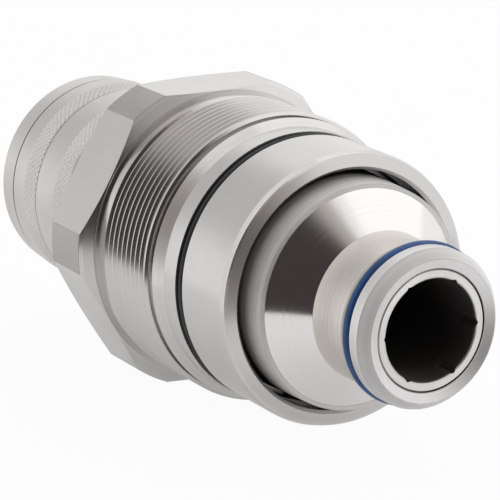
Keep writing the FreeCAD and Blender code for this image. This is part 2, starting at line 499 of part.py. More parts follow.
def make_rings():
    """Turned rings and round seals, by node name."""
    joint_middle = TAIL_JOINT_END - PROBE_RING_SECTION * SEAL_ROOM / 2
    probe_middle = (PROBE_GROOVE + PROBE_BACKUP) / 2
    backup_end = SEAL_GROOVE + TAIL_BACKUP_WIDTH
    return {
        "pilot_o_ring": round_ring((GROOVE_START + PILOT_START) / 2, PILOT_RADIUS - PILOT_RING_SECTION,
                                   PILOT_RADIUS),
        "guide_bush": tube(HEX_REAR, STOP_FACE - STOP_WALL, BUSH_BORE_RADIUS, BUSH_SEAT_RADIUS),
        "spring_seat": tube(SPRING_SEAT, RETAINING_RING, SHANK_RADIUS + 2 * FREE_CLEARANCE,
                            CHAMBER_RADIUS - RUNNING_CLEARANCE),
        "mouth_ring": tube(MOUTH_FACE, MOUTH_FACE + MOUTH_RING_LENGTH, SOCKET_RADIUS - MOUTH_RING_SEAT,
                           SLEEVE_RELIEF_RADIUS - RUNNING_CLEARANCE),
        "tail_joint_seal": square_ring(joint_middle, TAIL_SPIGOT_RADIUS - PROBE_RING_SECTION,
                                       TAIL_SPIGOT_RADIUS),
        "tail_seal": tube(backup_end, SEAL_GROOVE_END, TAIL_GROOVE_RADIUS, NOSE_RADIUS),
        "tail_backup_ring": tube(SEAL_GROOVE, backup_end, TAIL_GROOVE_RADIUS,
                                 TAIL_NECK_RADIUS + TAIL_BACKUP_STEP),
        "stem_seal": square_ring(VALVE_FACE + STEM_HEAD_LENGTH / 2, STEM_HEAD_RADIUS - STEM_RING_SECTION,
                                 STEM_HEAD_RADIUS),
        "spider_ring": tube(SPIDER_RING, SPIDER_FRONT, SPIDER_GROOVE_RADIUS - SPIDER_RING_HEIGHT,
                            SPIDER_GROOVE_RADIUS),
        "probe_seal": square_ring(probe_middle, MOUTH_RADIUS, MOUTH_RADIUS + PROBE_RING_SECTION),
        "probe_backup_ring": tube(PROBE_BACKUP, PROBE_GROOVE_END, MOUTH_RADIUS,
                                  MOUTH_RADIUS + PROBE_RING_SECTION),
        "sleeve_seat_ring": tube(SEAT_SHOULDER - SLEEVE_SEAT_LENGTH, SEAT_SHOULDER, SOCKET_RADIUS,
                                 SLEEVE_SEAT_RADIUS),
    }


def make_springs():
    """The three coil springs, by node name."""
    pocket_radius = SCREW_RADIUS - SLEEVE_WALL
    return {
        "float_spring": flat_wire_spring(FLANGE_FRONT, SPRING_SEAT, SHANK_RADIUS + FLOAT_SPRING_ROOM,
                                         CHAMBER_RADIUS - FLOAT_SPRING_ROOM,
                                         FLOAT_SPRING_WIRE, FLOAT_SPRING_TURNS),
        "sleeve_spring": flat_wire_spring(SLEEVE_SPRING_POCKET, SEAT_SHOULDER - SLEEVE_SEAT_LENGTH,
                                          SOCKET_RADIUS + FREE_CLEARANCE, pocket_radius - FREE_CLEARANCE,
                                          SLEEVE_SPRING_WIRE, SLEEVE_SPRING_TURNS),
        "shutoff_spring": flat_wire_spring(SHUTOFF_END, SPIDER_RING, FLOW_RADIUS + FREE_CLEARANCE,
                                           MOUTH_RADIUS - FREE_CLEARANCE,
                                           SHUTOFF_SPRING_WIRE, SHUTOFF_SPRING_TURNS),
    }


def make_all():
    """Every piece of the coupler, by node name."""
    pieces = {
        "housing": make_housing(),
        "retaining_ring": make_retaining_ring(),
        "socket_body": make_socket_body(),
        "tail_piece": make_tail_piece(),
        "hex_bush": make_hex_bush(),
        "valve_stem": make_valve_stem(),
        "stem_spider": make_stem_spider(),
        "shutoff_sleeve": make_shutoff_sleeve(),
        "release_sleeve": make_release_sleeve(),
        "sleeve_collar": make_sleeve_collar(),
    }
    pieces.update(make_rings())
    pieces.update(make_springs())
    for k in range(BALL_COUNT):
        pieces["locking_ball_%d" % (k + 1)] = make_ball(2 * math.pi * k / BALL_COUNT)
    return pieces


os.makedirs("parts", exist_ok=True)
for node, shape in make_all().items():
    shape.exportStep("parts/%s.step" % node)
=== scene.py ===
"""Dresses the flat face coupler: thread, tail piece, seal, knurls, springs, finishes and a white studio."""

import json
import math

import bmesh
import bpy
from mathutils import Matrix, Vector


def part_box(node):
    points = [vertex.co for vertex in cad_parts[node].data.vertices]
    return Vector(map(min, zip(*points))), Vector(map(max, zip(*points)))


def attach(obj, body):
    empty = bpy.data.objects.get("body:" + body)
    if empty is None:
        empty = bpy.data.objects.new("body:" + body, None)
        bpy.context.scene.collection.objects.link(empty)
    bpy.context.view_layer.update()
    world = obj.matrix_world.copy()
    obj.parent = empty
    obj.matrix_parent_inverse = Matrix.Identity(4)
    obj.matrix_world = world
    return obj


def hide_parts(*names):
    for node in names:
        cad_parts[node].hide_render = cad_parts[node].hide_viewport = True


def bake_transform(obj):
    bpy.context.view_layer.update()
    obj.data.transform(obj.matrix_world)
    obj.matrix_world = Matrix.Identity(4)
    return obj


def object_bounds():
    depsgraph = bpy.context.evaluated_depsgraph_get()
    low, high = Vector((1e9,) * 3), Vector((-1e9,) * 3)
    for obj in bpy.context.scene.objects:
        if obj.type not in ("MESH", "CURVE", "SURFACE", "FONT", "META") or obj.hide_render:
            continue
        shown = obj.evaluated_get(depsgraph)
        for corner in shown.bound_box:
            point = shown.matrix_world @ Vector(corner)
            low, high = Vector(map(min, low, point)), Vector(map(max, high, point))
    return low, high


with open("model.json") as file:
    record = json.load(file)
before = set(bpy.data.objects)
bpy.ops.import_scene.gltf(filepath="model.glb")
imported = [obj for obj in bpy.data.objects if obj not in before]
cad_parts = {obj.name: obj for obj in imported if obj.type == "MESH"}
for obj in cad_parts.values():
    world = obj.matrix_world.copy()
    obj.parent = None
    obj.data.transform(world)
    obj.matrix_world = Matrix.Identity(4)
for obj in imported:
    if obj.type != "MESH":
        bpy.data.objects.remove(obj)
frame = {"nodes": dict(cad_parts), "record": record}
CAD_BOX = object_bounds()

bl_info = {
    "name": "Flat face coupler",
    "version": (1, 0, 0),
    "blender": (4, 5, 0),
    "location": "3D View > Sidebar > Coupler",
    "description": "Thread, tail piece, grips, springs, finishes and studio for a cartridge coupler",
    "category": "Object",
}


def mount_size(name, size):
    """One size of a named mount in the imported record, in metres."""
    mount = next(item for item in frame["record"]["mounts"] if item["name"] == name)
    return mount["dims"][size] / 1000


THREAD_RADIUS = mount_size("block_thread", "r_mm")
THREAD_WALL = mount_size("block_thread", "length_mm")
COLLAR_LOW, COLLAR_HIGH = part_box("sleeve_collar")
SLEEVE_PARTING = COLLAR_LOW.x
SLEEVE_END = COLLAR_HIGH.x
SLEEVE_RADIUS = COLLAR_HIGH.z
FLOOR_HEIGHT = CAD_BOX[0].z

# Distance within which points are merged, and distance within which a ring of points is found
WELD = 1e-6
SLACK = 1e-5

# Turns wound before the first groove: two whole ones and a quarter from the top to the side
LEAD_IN_TURNS = 2.25

# Inner wall of a thread or knurl ring, as a share of its ends' radius
THREAD_INNER_SHARE = 0.945
KNURL_INNER_SHARE = 0.985

# Shares of the barrel's radius past which a point is on its front edge or on its skin
BARREL_EDGE_SHARE = 0.999
BARREL_SKIN_SHARE = 0.97

# Angles up to which two faces are shaded as one smooth surface
SMOOTH_TURNED = math.radians(12)
SMOOTH_THREAD = math.radians(24)
SMOOTH_SEAL = math.radians(40)
SMOOTH_KNURL = math.radians(5)
SMOOTH_WIRE = math.radians(30)

# Angles from their middles at which the dimmer wall and the fill light end, and within which they are full
WALL_OUTER = math.radians(30)
WALL_INNER = math.radians(4)
FILL_OUTER = math.radians(27)
FILL_INNER = math.radians(6)

# Width of the camera's sensor in millimetres
SENSOR_WIDTH = 36

# How fast the lathe rings follow each other across and along the axis
RADIAL_FEED = 1.7
AXIAL_FEED = 0.8

# Shares of the lathe rings and the wiped patches in a metal's tone, and what the tone does to its finish
FINE_TONE = 0.6
MARK_TONE = 0.4
ROUGHNESS_FLOOR = 0.75
ROUGHNESS_SPREAD = 0.5
ZONE_SHADE = 0.8

# Rings of the nose's front, from its land over the front edge and down the inner cone: station and radius
NOSE_RINGS = ((0.0615, 0.01205), (0.06232, 0.01143), (0.0624, 0.0113), (0.06236, 0.01118), (0.0622, 0.01078),
              (0.06208, 0.01044), (0.06196, 0.01012), (0.06182, 0.00973))

# Rings of the nose within this radius belong to the bush's seat and stay
NOSE_SEAT = 0.01


# Settings that a user may change

class CouplerSizes(bpy.types.PropertyGroup):
    """Sizes of the block thread, the tail piece, the nose seal and the knurled grips"""

    thread_pitch: bpy.props.FloatProperty(
        name="Thread pitch", description="Distance between two crests of the block thread",
        default=0.0015, min=0.0005, precision=5, unit="LENGTH")
    thread_depth: bpy.props.FloatProperty(
        name="Thread depth", description="Height of the block thread from root to crest",
        default=0.00092, min=0.0001, precision=5, unit="LENGTH")
    thread_crest: bpy.props.FloatProperty(
        name="Crest width", description="Width of the flat on the thread's crest",
        default=0.00022, min=0.00001, precision=5, unit="LENGTH")
    thread_root: bpy.props.FloatProperty(
        name="Root width", description="Width of the flat at the thread's root",
        default=0.00022, min=0.00001, precision=5, unit="LENGTH")
    thread_neck: bpy.props.FloatProperty(
        name="Thread neck", description="Plain band between the hexagon's shoulder and the thread",
        default=0.0023, min=0.0002, precision=5, unit="LENGTH")
    thread_run_out: bpy.props.FloatProperty(
        name="Thread run-out", description="Length in which the first groove rises to the neck",
        default=0.0009, min=0.0002, precision=5, unit="LENGTH")
    thread_first_groove: bpy.props.FloatProperty(
        name="First groove", description="Middle of the first groove on the side that faces -Y",
        default=0.0031, min=0.0, precision=5, unit="LENGTH")
    thread_end_band: bpy.props.FloatProperty(
        name="Thread end band", description="Plain band left between the thread and the wall's bevelled end",
        default=0.0004, min=0.0001, precision=5, unit="LENGTH")
    barrel_front: bpy.props.FloatProperty(
        name="Barrel front", description="Radius of the tail piece's barrel at the foot of its cone",
        default=0.01805, min=0.0177, precision=5, unit="LENGTH")
    barrel_rear: bpy.props.FloatProperty(
        name="Barrel rear", description="Radius of the tail piece's barrel at its hidden end",
        default=0.0189, min=0.0177, precision=5, unit="LENGTH")
    cone_foot: bpy.props.FloatProperty(
        name="Cone foot",
        description="How far the foot of the tail piece's cone lies in front of the solid's",
        default=0.0006, min=0.0, precision=5, unit="LENGTH")
    cone_end: bpy.props.FloatProperty(
        name="Cone end", description="Station at which the cone meets the neck",
        default=0.0474, min=0.042, precision=5, unit="LENGTH")
    cone_top: bpy.props.FloatProperty(
        name="Cone top", description="Radius at which the cone meets the neck",
        default=0.0121, min=0.01, precision=5, unit="LENGTH")
    seal_station: bpy.props.FloatProperty(
        name="Nose seal station", description="Middle of the blue seal along the axis",
        default=0.0576, min=0.05, precision=5, unit="LENGTH")
    seal_radius: bpy.props.FloatProperty(
        name="Nose seal radius", description="From the axis to the middle of the blue seal's section",
        default=0.01205, min=0.01, precision=5, unit="LENGTH")
    seal_section: bpy.props.FloatProperty(
        name="Nose seal section", description="Radius of the blue seal's round section",
        default=0.001, min=0.0002, precision=5, unit="LENGTH")
    thread_steps: bpy.props.IntProperty(
        name="Thread steps", description="Straight steps in one turn of the thread", default=144, min=24)
    front_knurl: bpy.props.FloatProperty(
        name="Front knurl", description="Length of the knurled band in front of the parting line",
        default=0.0046, min=0.001, precision=5, unit="LENGTH")
    rear_knurl: bpy.props.FloatProperty(
        name="Rear knurl", description="Length of the knurled band at the sleeve's end",
        default=0.005, min=0.001, precision=5, unit="LENGTH")
    knurl_edge: bpy.props.FloatProperty(
        name="Knurl edge", description="Smooth edge that is left beside a knurled band",
        default=0.0003, min=0.0, precision=5, unit="LENGTH")
    knurl_height: bpy.props.FloatProperty(
        name="Knurl height", description="Height of a knurl's diamond above the grooves",
        default=0.0002, min=0.00005, precision=5, unit="LENGTH")
    knurl_row: bpy.props.FloatProperty(
        name="Knurl row", description="Distance along the axis from a diamond's middle to its tip",
        default=0.00066, min=0.0001, precision=5, unit="LENGTH")
    knurl_count: bpy.props.IntProperty(
        name="Knurl count", description="Diamonds in one row round the sleeve", default=104, min=12)


class CouplerFinishes(bpy.types.PropertyGroup):
    """Colours of the coupler's metals, seals and plastic, with painted shade for the bores and the hexagon's
    corners and a painted highlight on the nose's bevel
    """

    steel: bpy.props.FloatVectorProperty(
        name="Steel", description="Bright plated steel", subtype="COLOR", min=0, max=1,
        default=(0.71, 0.695, 0.68))
    steel_shade: bpy.props.FloatVectorProperty(
        name="Steel shade", description="Darker tone in the plated steel's tool marks", subtype="COLOR",
        min=0, max=1, default=(0.63, 0.615, 0.6))
    # Hexagon corners: rougher turned lands, with their colour darkened further by painted shade
    corner: bpy.props.FloatVectorProperty(
        name="Hexagon corners", description="Duller turned lands on the hexagon's corners, darkened by painted shade", subtype="COLOR",
        min=0, max=1, default=(0.5, 0.492, 0.48))
    sleeve: bpy.props.FloatVectorProperty(
        name="Sleeve steel", description="Paler plating of the release sleeve", subtype="COLOR", min=0, max=1,
        default=(0.7, 0.675, 0.655))
    sleeve_shade: bpy.props.FloatVectorProperty(
        name="Sleeve shade", description="Duller tone in the sleeve's plating", subtype="COLOR", min=0, max=1,
        default=(0.63, 0.605, 0.585))
    polished: bpy.props.FloatVectorProperty(
        name="Polished steel", description="Polished tail piece", subtype="COLOR", min=0, max=1,
        default=(0.87, 0.855, 0.84))
    polished_shade: bpy.props.FloatVectorProperty(
        name="Polished shade", description="Faint darker tone in the polished steel", subtype="COLOR",
        min=0, max=1, default=(0.845, 0.83, 0.815))
    neck: bpy.props.FloatVectorProperty(
        name="Neck", description="Finely turned neck of the tail piece", subtype="COLOR", min=0, max=1,
        default=(0.82, 0.78, 0.74))
    nose: bpy.props.FloatVectorProperty(
        name="Nose", description="Bright turned nose of the tail piece", subtype="COLOR", min=0, max=1,
        default=(0.88, 0.87, 0.865))
    # Nose bevel: painted highlight, pale matt white on the steel bevel in place of its bright reflection
    bevel: bpy.props.FloatVectorProperty(
        name="Nose bevel", description="Painted highlight of pale matt white round the nose's front edge", subtype="COLOR",
        min=0, max=1, default=(0.97, 0.965, 0.96))
    barrel: bpy.props.FloatVectorProperty(
        name="Barrel", description="Satin barrel of the tail piece", subtype="COLOR", min=0, max=1,
        default=(0.88, 0.865, 0.845))
    # Bore: painted shade, near black, put deep in the chamber and behind the pilot's lip where shade falls
    painted_bore_shade: bpy.props.FloatVectorProperty(
        name="Bore", description="Painted shade deep inside the bores", subtype="COLOR", min=0, max=1,
        default=(0.026, 0.025, 0.023))
    # Socket: painted shade, dark grey, inside the bush's hexagon socket and the tail piece's bore
    socket: bpy.props.FloatVectorProperty(
        name="Socket", description="Painted shade in the bush's hexagon socket", subtype="COLOR",
        min=0, max=1, default=(0.09, 0.088, 0.083))
    bush: bpy.props.FloatVectorProperty(
        name="Bush", description="Pale matt bush in the nose", subtype="COLOR", min=0, max=1,
        default=(0.9, 0.885, 0.855))
    bush_shade: bpy.props.FloatVectorProperty(
        name="Bush shade", description="Duller tone on the bush", subtype="COLOR", min=0, max=1,
        default=(0.8, 0.785, 0.755))
    wire: bpy.props.FloatVectorProperty(
        name="Spring wire", description="Drawn spring steel", subtype="COLOR", min=0, max=1,
        default=(0.36, 0.36, 0.37))
    wire_shade: bpy.props.FloatVectorProperty(
        name="Spring wire shade", description="Darker streaks of the drawn wire", subtype="COLOR",
        min=0, max=1, default=(0.22, 0.22, 0.23))
    bronze: bpy.props.FloatVectorProperty(
        name="Bronze", description="Guide bush", subtype="COLOR", min=0, max=1, default=(0.55, 0.36, 0.16))
    bronze_shade: bpy.props.FloatVectorProperty(
        name="Bronze shade", description="Browner tone of the guide bush", subtype="COLOR", min=0, max=1,
        default=(0.38, 0.22, 0.09))
    rubber: bpy.props.FloatVectorProperty(
        name="Rubber", description="Black seals", subtype="COLOR", min=0, max=1,
        default=(0.012, 0.012, 0.013))
    rubber_shade: bpy.props.FloatVectorProperty(
        name="Rubber bloom", description="Greyer bloom on the black seals", subtype="COLOR", min=0, max=1,
        default=(0.035, 0.035, 0.036))
    seal: bpy.props.FloatVectorProperty(
        name="Nose seal", description="Blue seal of the nose", subtype="COLOR", min=0, max=1,
        default=(0.02, 0.1, 0.33))
    seal_shade: bpy.props.FloatVectorProperty(
        name="Nose seal shade", description="Deeper tone of the blue seal", subtype="COLOR", min=0, max=1,
        default=(0.013, 0.07, 0.24))
    cream: bpy.props.FloatVectorProperty(
        name="Back-up ring", description="Cream plastic back-up rings", subtype="COLOR", min=0, max=1,
        default=(0.7, 0.66, 0.55))
    cream_shade: bpy.props.FloatVectorProperty(
        name="Back-up ring shade", description="Waxier tone of the back-up rings", subtype="COLOR",
        min=0, max=1, default=(0.6, 0.55, 0.43))


class CouplerStage(bpy.types.PropertyGroup):
    """Camera and studio"""

    azimuth: bpy.props.FloatProperty(
        name="Azimuth", description="Camera's turn about the vertical; 0 looks along +Y",
        default=math.radians(59.3), subtype="ANGLE")
    elevation: bpy.props.FloatProperty(
        name="Elevation", description="Camera's height above the horizon",
        default=math.radians(16.2), subtype="ANGLE")
    distance: bpy.props.FloatProperty(
        name="Distance", description="From the point in the middle of the picture to the camera",
        default=0.4415, min=0.05, unit="LENGTH")
    aim: bpy.props.FloatVectorProperty(
        name="Aim", description="Point of the part in the middle of the picture",
        default=(0.01961, -0.00677, 0.00317), subtype="TRANSLATION", precision=5)
    lens: bpy.props.FloatProperty(
        name="Lens", description="Focal length on a 36 mm wide sensor", default=196.3, min=1, unit="CAMERA")
    surround: bpy.props.FloatVectorProperty(
        name="Surround", description="White walls and ceiling of the studio", subtype="COLOR", min=0, max=1,
        default=(0.97, 0.97, 0.97))
    dark_side: bpy.props.FloatVectorProperty(
        name="Dark side", description="Unlit room behind the camera, seen in the metal", subtype="COLOR",
        min=0, max=1, default=(0.05, 0.043, 0.042))
    dim_side: bpy.props.FloatVectorProperty(
        name="Dim side", description="Half-lit rim of the unlit room", subtype="COLOR", min=0, max=1,
        default=(0.43, 0.39, 0.37))
    dark_direction: bpy.props.FloatVectorProperty(
        name="Dark direction", description="Middle of the unlit part of the room",
        default=(0.72, -0.62, 0.312), subtype="DIRECTION")
    dark_inner: bpy.props.FloatProperty(
        name="Dark inner angle", description="Angle within which the room is fully dark",
        default=math.radians(38), subtype="ANGLE")
    dark_middle: bpy.props.FloatProperty(
        name="Dim angle", description="Angle at which the room is half lit",
        default=math.radians(51), subtype="ANGLE")
    dark_outer: bpy.props.FloatProperty(
        name="Dark outer angle", description="Angle past which the room is white",
        default=math.radians(61), subtype="ANGLE")
    fill_shade: bpy.props.FloatVectorProperty(
        name="Fill shade", description="Weak fill light above the nose", subtype="COLOR", min=0, max=1,
        default=(0.52, 0.5, 0.485))
    fill_direction: bpy.props.FloatVectorProperty(
        name="Fill direction", description="Middle of the weak fill light",
        default=(0.8, 0.1, 0.592), subtype="DIRECTION")
    wall_shade: bpy.props.FloatVectorProperty(
        name="Wall shade", description="Dimmer strip of the back wall", subtype="COLOR", min=0, max=1,
        default=(0.64, 0.635, 0.63))
    wall_direction: bpy.props.FloatVectorProperty(
        name="Wall direction", description="Middle of the dimmer strip of the back wall",
        default=(-0.832, -0.261, 0.49), subtype="DIRECTION")
    softbox_power: bpy.props.FloatProperty(
        name="Softbox power", description="Power of the softbox over the part",
        default=0.6, min=0, unit="POWER")
    softbox_size: bpy.props.FloatProperty(
        name="Softbox size", description="Side of the square softbox", default=1.0, min=0.05, unit="LENGTH")
    softbox_place: bpy.props.FloatVectorProperty(
        name="Softbox place", description="Middle of the softbox, which faces the part",
        default=(0.0, 0.6, 0.6), subtype="TRANSLATION")
    floor_near: bpy.props.FloatProperty(
        name="Near edge of the sheet",
        description="From the axis to the white sheet's edge on the camera's left",
        default=0.092, min=0.03, unit="LENGTH")
    floor_front: bpy.props.FloatProperty(
        name="Front edge of the sheet",
        description="From the origin to the white sheet's edge in front of the nose",
        default=0.105, min=0.08, unit="LENGTH")
    floor_far: bpy.props.FloatProperty(
        name="Reach of the sheet", description="From the axis to the white sheet's other edges",
        default=0.6, min=0.1, unit="LENGTH")
    floor_glow: bpy.props.FloatProperty(
        name="Sheet's white", description="How far the sheet is plain white to the camera", default=0.95,
        min=0, max=1, subtype="FACTOR")
    floor_sheen: bpy.props.FloatProperty(
        name="Sheet's white in metal", description="How far the sheet is plain white in reflections",
        default=0.42, min=0, max=1, subtype="FACTOR")


# Modelling helpers

def start_editing(piece):
    """Opens one piece in edit mode with all of it selected."""
    if bpy.context.mode != "OBJECT":
        bpy.ops.object.mode_set(mode="OBJECT")
    bpy.ops.object.select_all(action="DESELECT")
    piece.select_set(True)
    bpy.context.view_layer.objects.active = piece
    bpy.ops.object.mode_set(mode="EDIT")
    bpy.ops.mesh.select_mode(type="VERT")
    bpy.ops.mesh.select_all(action="SELECT")


def pick(piece, wanted):
    """Selects the points of the edited piece for which wanted(point) is true."""
    mesh = bmesh.from_edit_mesh(piece.data)
    for point in mesh.verts:
        point.select_set(bool(wanted(point.co)))
    mesh.select_flush_mode()
    bmesh.update_edit_mesh(piece.data)


def radius_of(point):
    """Distance of a point from the coupler's axis."""
    return math.hypot(point.y, point.z)


def scale_about_axis(factor):
    """Scales what is selected towards or away from the coupler's axis."""
    bpy.ops.transform.resize(value=(1, factor, factor), center_override=(0, 0, 0))


def extrude_along(distance):
    """Extrudes the selected points along the axis."""
    bpy.ops.mesh.extrude_region_move(TRANSFORM_OT_translate={"value": (distance, 0, 0)})


def cut_across(station, clear_before=False, clear_after=False):
    """Cuts the edited piece by a plane across the axis."""
    bpy.ops.mesh.select_all(action="SELECT")
    bpy.ops.mesh.bisect(plane_co=(station, 0, 0), plane_no=(1, 0, 0), use_fill=False, threshold=1e-8,
                        clear_inner=clear_before, clear_outer=clear_after)


def close_ring(piece, start, end, inner_share):
    """Turns both open ends of a ring in towards the axis and joins them by an inner wall."""
    for station in (start, end):
        pick(piece, lambda point: abs(point.x - station) < WELD)
        bpy.ops.mesh.extrude_region_move()
        scale_about_axis(inner_share)
    mesh = bmesh.from_edit_mesh(piece.data)
    for edge in mesh.edges:
        edge.select_set(edge.is_boundary)
    bmesh.update_edit_mesh(piece.data)
    bpy.ops.mesh.select_mode(type="EDGE")
    bpy.ops.mesh.bridge_edge_loops()
    bpy.ops.mesh.select_mode(type="VERT")
    bpy.ops.mesh.select_all(action="SELECT")
    bpy.ops.mesh.normals_make_consistent(inside=False)


def paint_piece(piece, finish, smooth_angle):
    """Leaves edit mode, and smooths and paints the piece."""
    bpy.ops.object.mode_set(mode="OBJECT")
    bpy.ops.object.shade_smooth_by_angle(angle=smooth_angle)
    piece.data.materials.clear()
    piece.data.materials.append(bpy.data.materials[finish])


def finish_piece(piece, body, finish, smooth_angle):
    """Paints the piece and ties it to the body that it rides on."""
    paint_piece(piece, finish, smooth_angle)
    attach(piece, body)


def merged_copy(node, name):
    """Copy of a solid's mesh as a new piece in edit mode, with its loose triangles joined."""
    piece = bpy.data.objects.new(name, frame["nodes"][node].data.copy())
    bpy.context.scene.collection.objects.link(piece)
    start_editing(piece)
    bpy.ops.mesh.customdata_custom_splitnormals_clear()
    bpy.ops.mesh.remove_doubles(threshold=WELD)
    return piece


def new_primitive(name):
    """The primitive that was just added, renamed and with its turn and place moved into its mesh."""
    piece = bpy.context.active_object
    piece.name = name
    bpy.ops.object.transform_apply(location=True, rotation=True, scale=True)
    return piece


# Node helpers and shared effects

def empty_tree(owner):
    """Node tree of a material or a world, with nothing in it."""
    owner.use_nodes = True
    owner.node_tree.nodes.clear()
    return owner.node_tree


def feed(tree, socket, value):
    """Links a socket to an output, or sets it to a plain value."""
    if isinstance(value, bpy.types.NodeSocket):
        tree.links.new(value, socket)
    else:
        socket.default_value = value


def blend_shaders(tree, share, first, second, output):
    """Mixes two shaders by a share and feeds them to the output."""
    blend = tree.nodes.new("ShaderNodeMixShader")
    tree.links.new(share, blend.inputs["Fac"])
    tree.links.new(first, blend.inputs[1])
    tree.links.new(second, blend.inputs[2])
    tree.links.new(blend.outputs["Shader"], output.inputs["Surface"])


def new_group(name, inputs, outputs):
    """Empty shader node group with the given sockets; returns the tree and its two end nodes."""
    tree = bpy.data.node_groups.new(name, "ShaderNodeTree")
    for label, kind, default in inputs:
        socket = tree.interface.new_socket(name=label, in_out="INPUT", socket_type=kind)
        if default is not None:
            socket.default_value = default
    for label, kind in outputs:
        tree.interface.new_socket(name=label, in_out="OUTPUT", socket_type=kind)
    return tree, tree.nodes.new("NodeGroupInput"), tree.nodes.new("NodeGroupOutput")


def math_node(tree, operation, first, second=None, third=None):
    """Math node fed by links or plain numbers; returns its output."""
    node = tree.nodes.new("ShaderNodeMath")
    node.operation = operation
    for socket, value in zip(node.inputs, (first, second, third)):
        if value is not None:
            feed(tree, socket, value)
    return node.outputs["Value"]


def ramp_between(tree, value, low, high, to_low=0.0, to_high=1.0):
    """Smooth step of a value from low to high; each end may be a number or a link."""
    node = tree.nodes.new("ShaderNodeMapRange")
    node.interpolation_type = "SMOOTHSTEP"
    tree.links.new(value, node.inputs["Value"])
    for label, end in (("From Min", low), ("From Max", high), ("To Min", to_low), ("To Max", to_high)):
        feed(tree, node.inputs[label], end)
    return node.outputs["Result"]


def mix_values(tree, share, first, second):
    """Mix of two numbers or links by a mask."""
    node = tree.nodes.new("ShaderNodeMix")
    tree.links.new(share, node.inputs[0])
    feed(tree, node.inputs[2], first)
    feed(tree, node.inputs[3], second)
    return node.outputs[0]


def mix_colours(tree, share, first, second):
    """Mix of two colours or links by a mask."""
    node = tree.nodes.new("ShaderNodeMix")
    node.data_type = "RGBA"
    tree.links.new(share, node.inputs["Factor"])
    for socket, value in ((node.inputs[6], first), (node.inputs[7], second)):
        feed(tree, socket, value if isinstance(value, bpy.types.NodeSocket) else (*value, 1))
    return node.outputs[2]


def axis_radius(tree, position):
    """Distance of a position from the coupler's axis."""
    across = tree.nodes.new("ShaderNodeVectorMath")
    across.operation = "MULTIPLY"
    across.inputs[1].default_value = (0, 1, 1)
    tree.links.new(position, across.inputs[0])
    length = tree.nodes.new("ShaderNodeVectorMath")
    length.operation = "LENGTH"
    tree.links.new(across.outputs["Vector"], length.inputs[0])
    return length.outputs["Value"]


def make_turning_lines():
    """Fine rings left by the lathe on cylinders, cones and end faces about the axis."""
    tree, start, end = new_group(
        "Turning lines",
        [("Position", "NodeSocketVector", None), ("Lines per metre", "NodeSocketFloat", 4000.0),
         ("Break-up", "NodeSocketFloat", 0.15)],
        [("Height", "NodeSocketFloat"), ("Tone", "NodeSocketFloat")])
    parts = tree.nodes.new("ShaderNodeSeparateXYZ")
    tree.links.new(start.outputs["Position"], parts.inputs[0])
    travel = math_node(tree, "MULTIPLY", axis_radius(tree, start.outputs["Position"]), RADIAL_FEED)
    travel = math_node(tree, "MULTIPLY_ADD", parts.outputs["X"], AXIAL_FEED, travel)
    rings = tree.nodes.new("ShaderNodeTexNoise")
    rings.noise_dimensions = "1D"
    rings.inputs["Scale"].default_value = 1.0
    rings.inputs["Detail"].default_value = 3.0
    rings.inputs["Roughness"].default_value = 0.7
    tree.links.new(math_node(tree, "MULTIPLY", travel, start.outputs["Lines per metre"]), rings.inputs["W"])
    cloud = tree.nodes.new("ShaderNodeTexNoise")
    cloud.inputs["Scale"].default_value = 900.0
    tree.links.new(start.outputs["Position"], cloud.inputs["Vector"])
    height = math_node(tree, "MULTIPLY_ADD", cloud.outputs["Fac"], start.outputs["Break-up"],
                       rings.outputs["Fac"])
    tree.links.new(height, end.inputs["Height"])
    tree.links.new(ramp_between(tree, height, 0.3, 0.75), end.inputs["Tone"])
    return tree


def make_handling_marks():
    """Soft cloudy patches where the surface has been touched and wiped."""
    tree, start, end = new_group(
        "Handling marks",
        [("Position", "NodeSocketVector", None), ("Scale", "NodeSocketFloat", 60.0)],
        [("Mask", "NodeSocketFloat")])
    cloud = tree.nodes.new("ShaderNodeTexNoise")
    cloud.inputs["Detail"].default_value = 4.0
    cloud.inputs["Roughness"].default_value = 0.55
    tree.links.new(start.outputs["Position"], cloud.inputs["Vector"])
    tree.links.new(start.outputs["Scale"], cloud.inputs["Scale"])
    tree.links.new(ramp_between(tree, cloud.outputs["Fac"], 0.35, 0.68), end.inputs["Mask"])
    return tree


def make_drawn_streaks():
    """Straight streaks along the axis, as on a drawn hexagon bar."""
    tree, start, end = new_group(
        "Drawn streaks",
        [("Position", "NodeSocketVector", None), ("Streaks per metre", "NodeSocketFloat", 6500.0)],
        [("Height", "NodeSocketFloat"), ("Tone", "NodeSocketFloat")])
    squeeze = tree.nodes.new("ShaderNodeVectorMath")
    squeeze.operation = "MULTIPLY"
    squeeze.inputs[1].default_value = (0.04, 1, 1)
    tree.links.new(start.outputs["Position"], squeeze.inputs[0])
    grain = tree.nodes.new("ShaderNodeTexNoise")
    grain.inputs["Detail"].default_value = 2.0
    tree.links.new(squeeze.outputs["Vector"], grain.inputs["Vector"])
    tree.links.new(start.outputs["Streaks per metre"], grain.inputs["Scale"])
    tree.links.new(grain.outputs["Fac"], end.inputs["Height"])
    tree.links.new(ramp_between(tree, grain.outputs["Fac"], 0.1, 0.95), end.inputs["Tone"])
    return tree


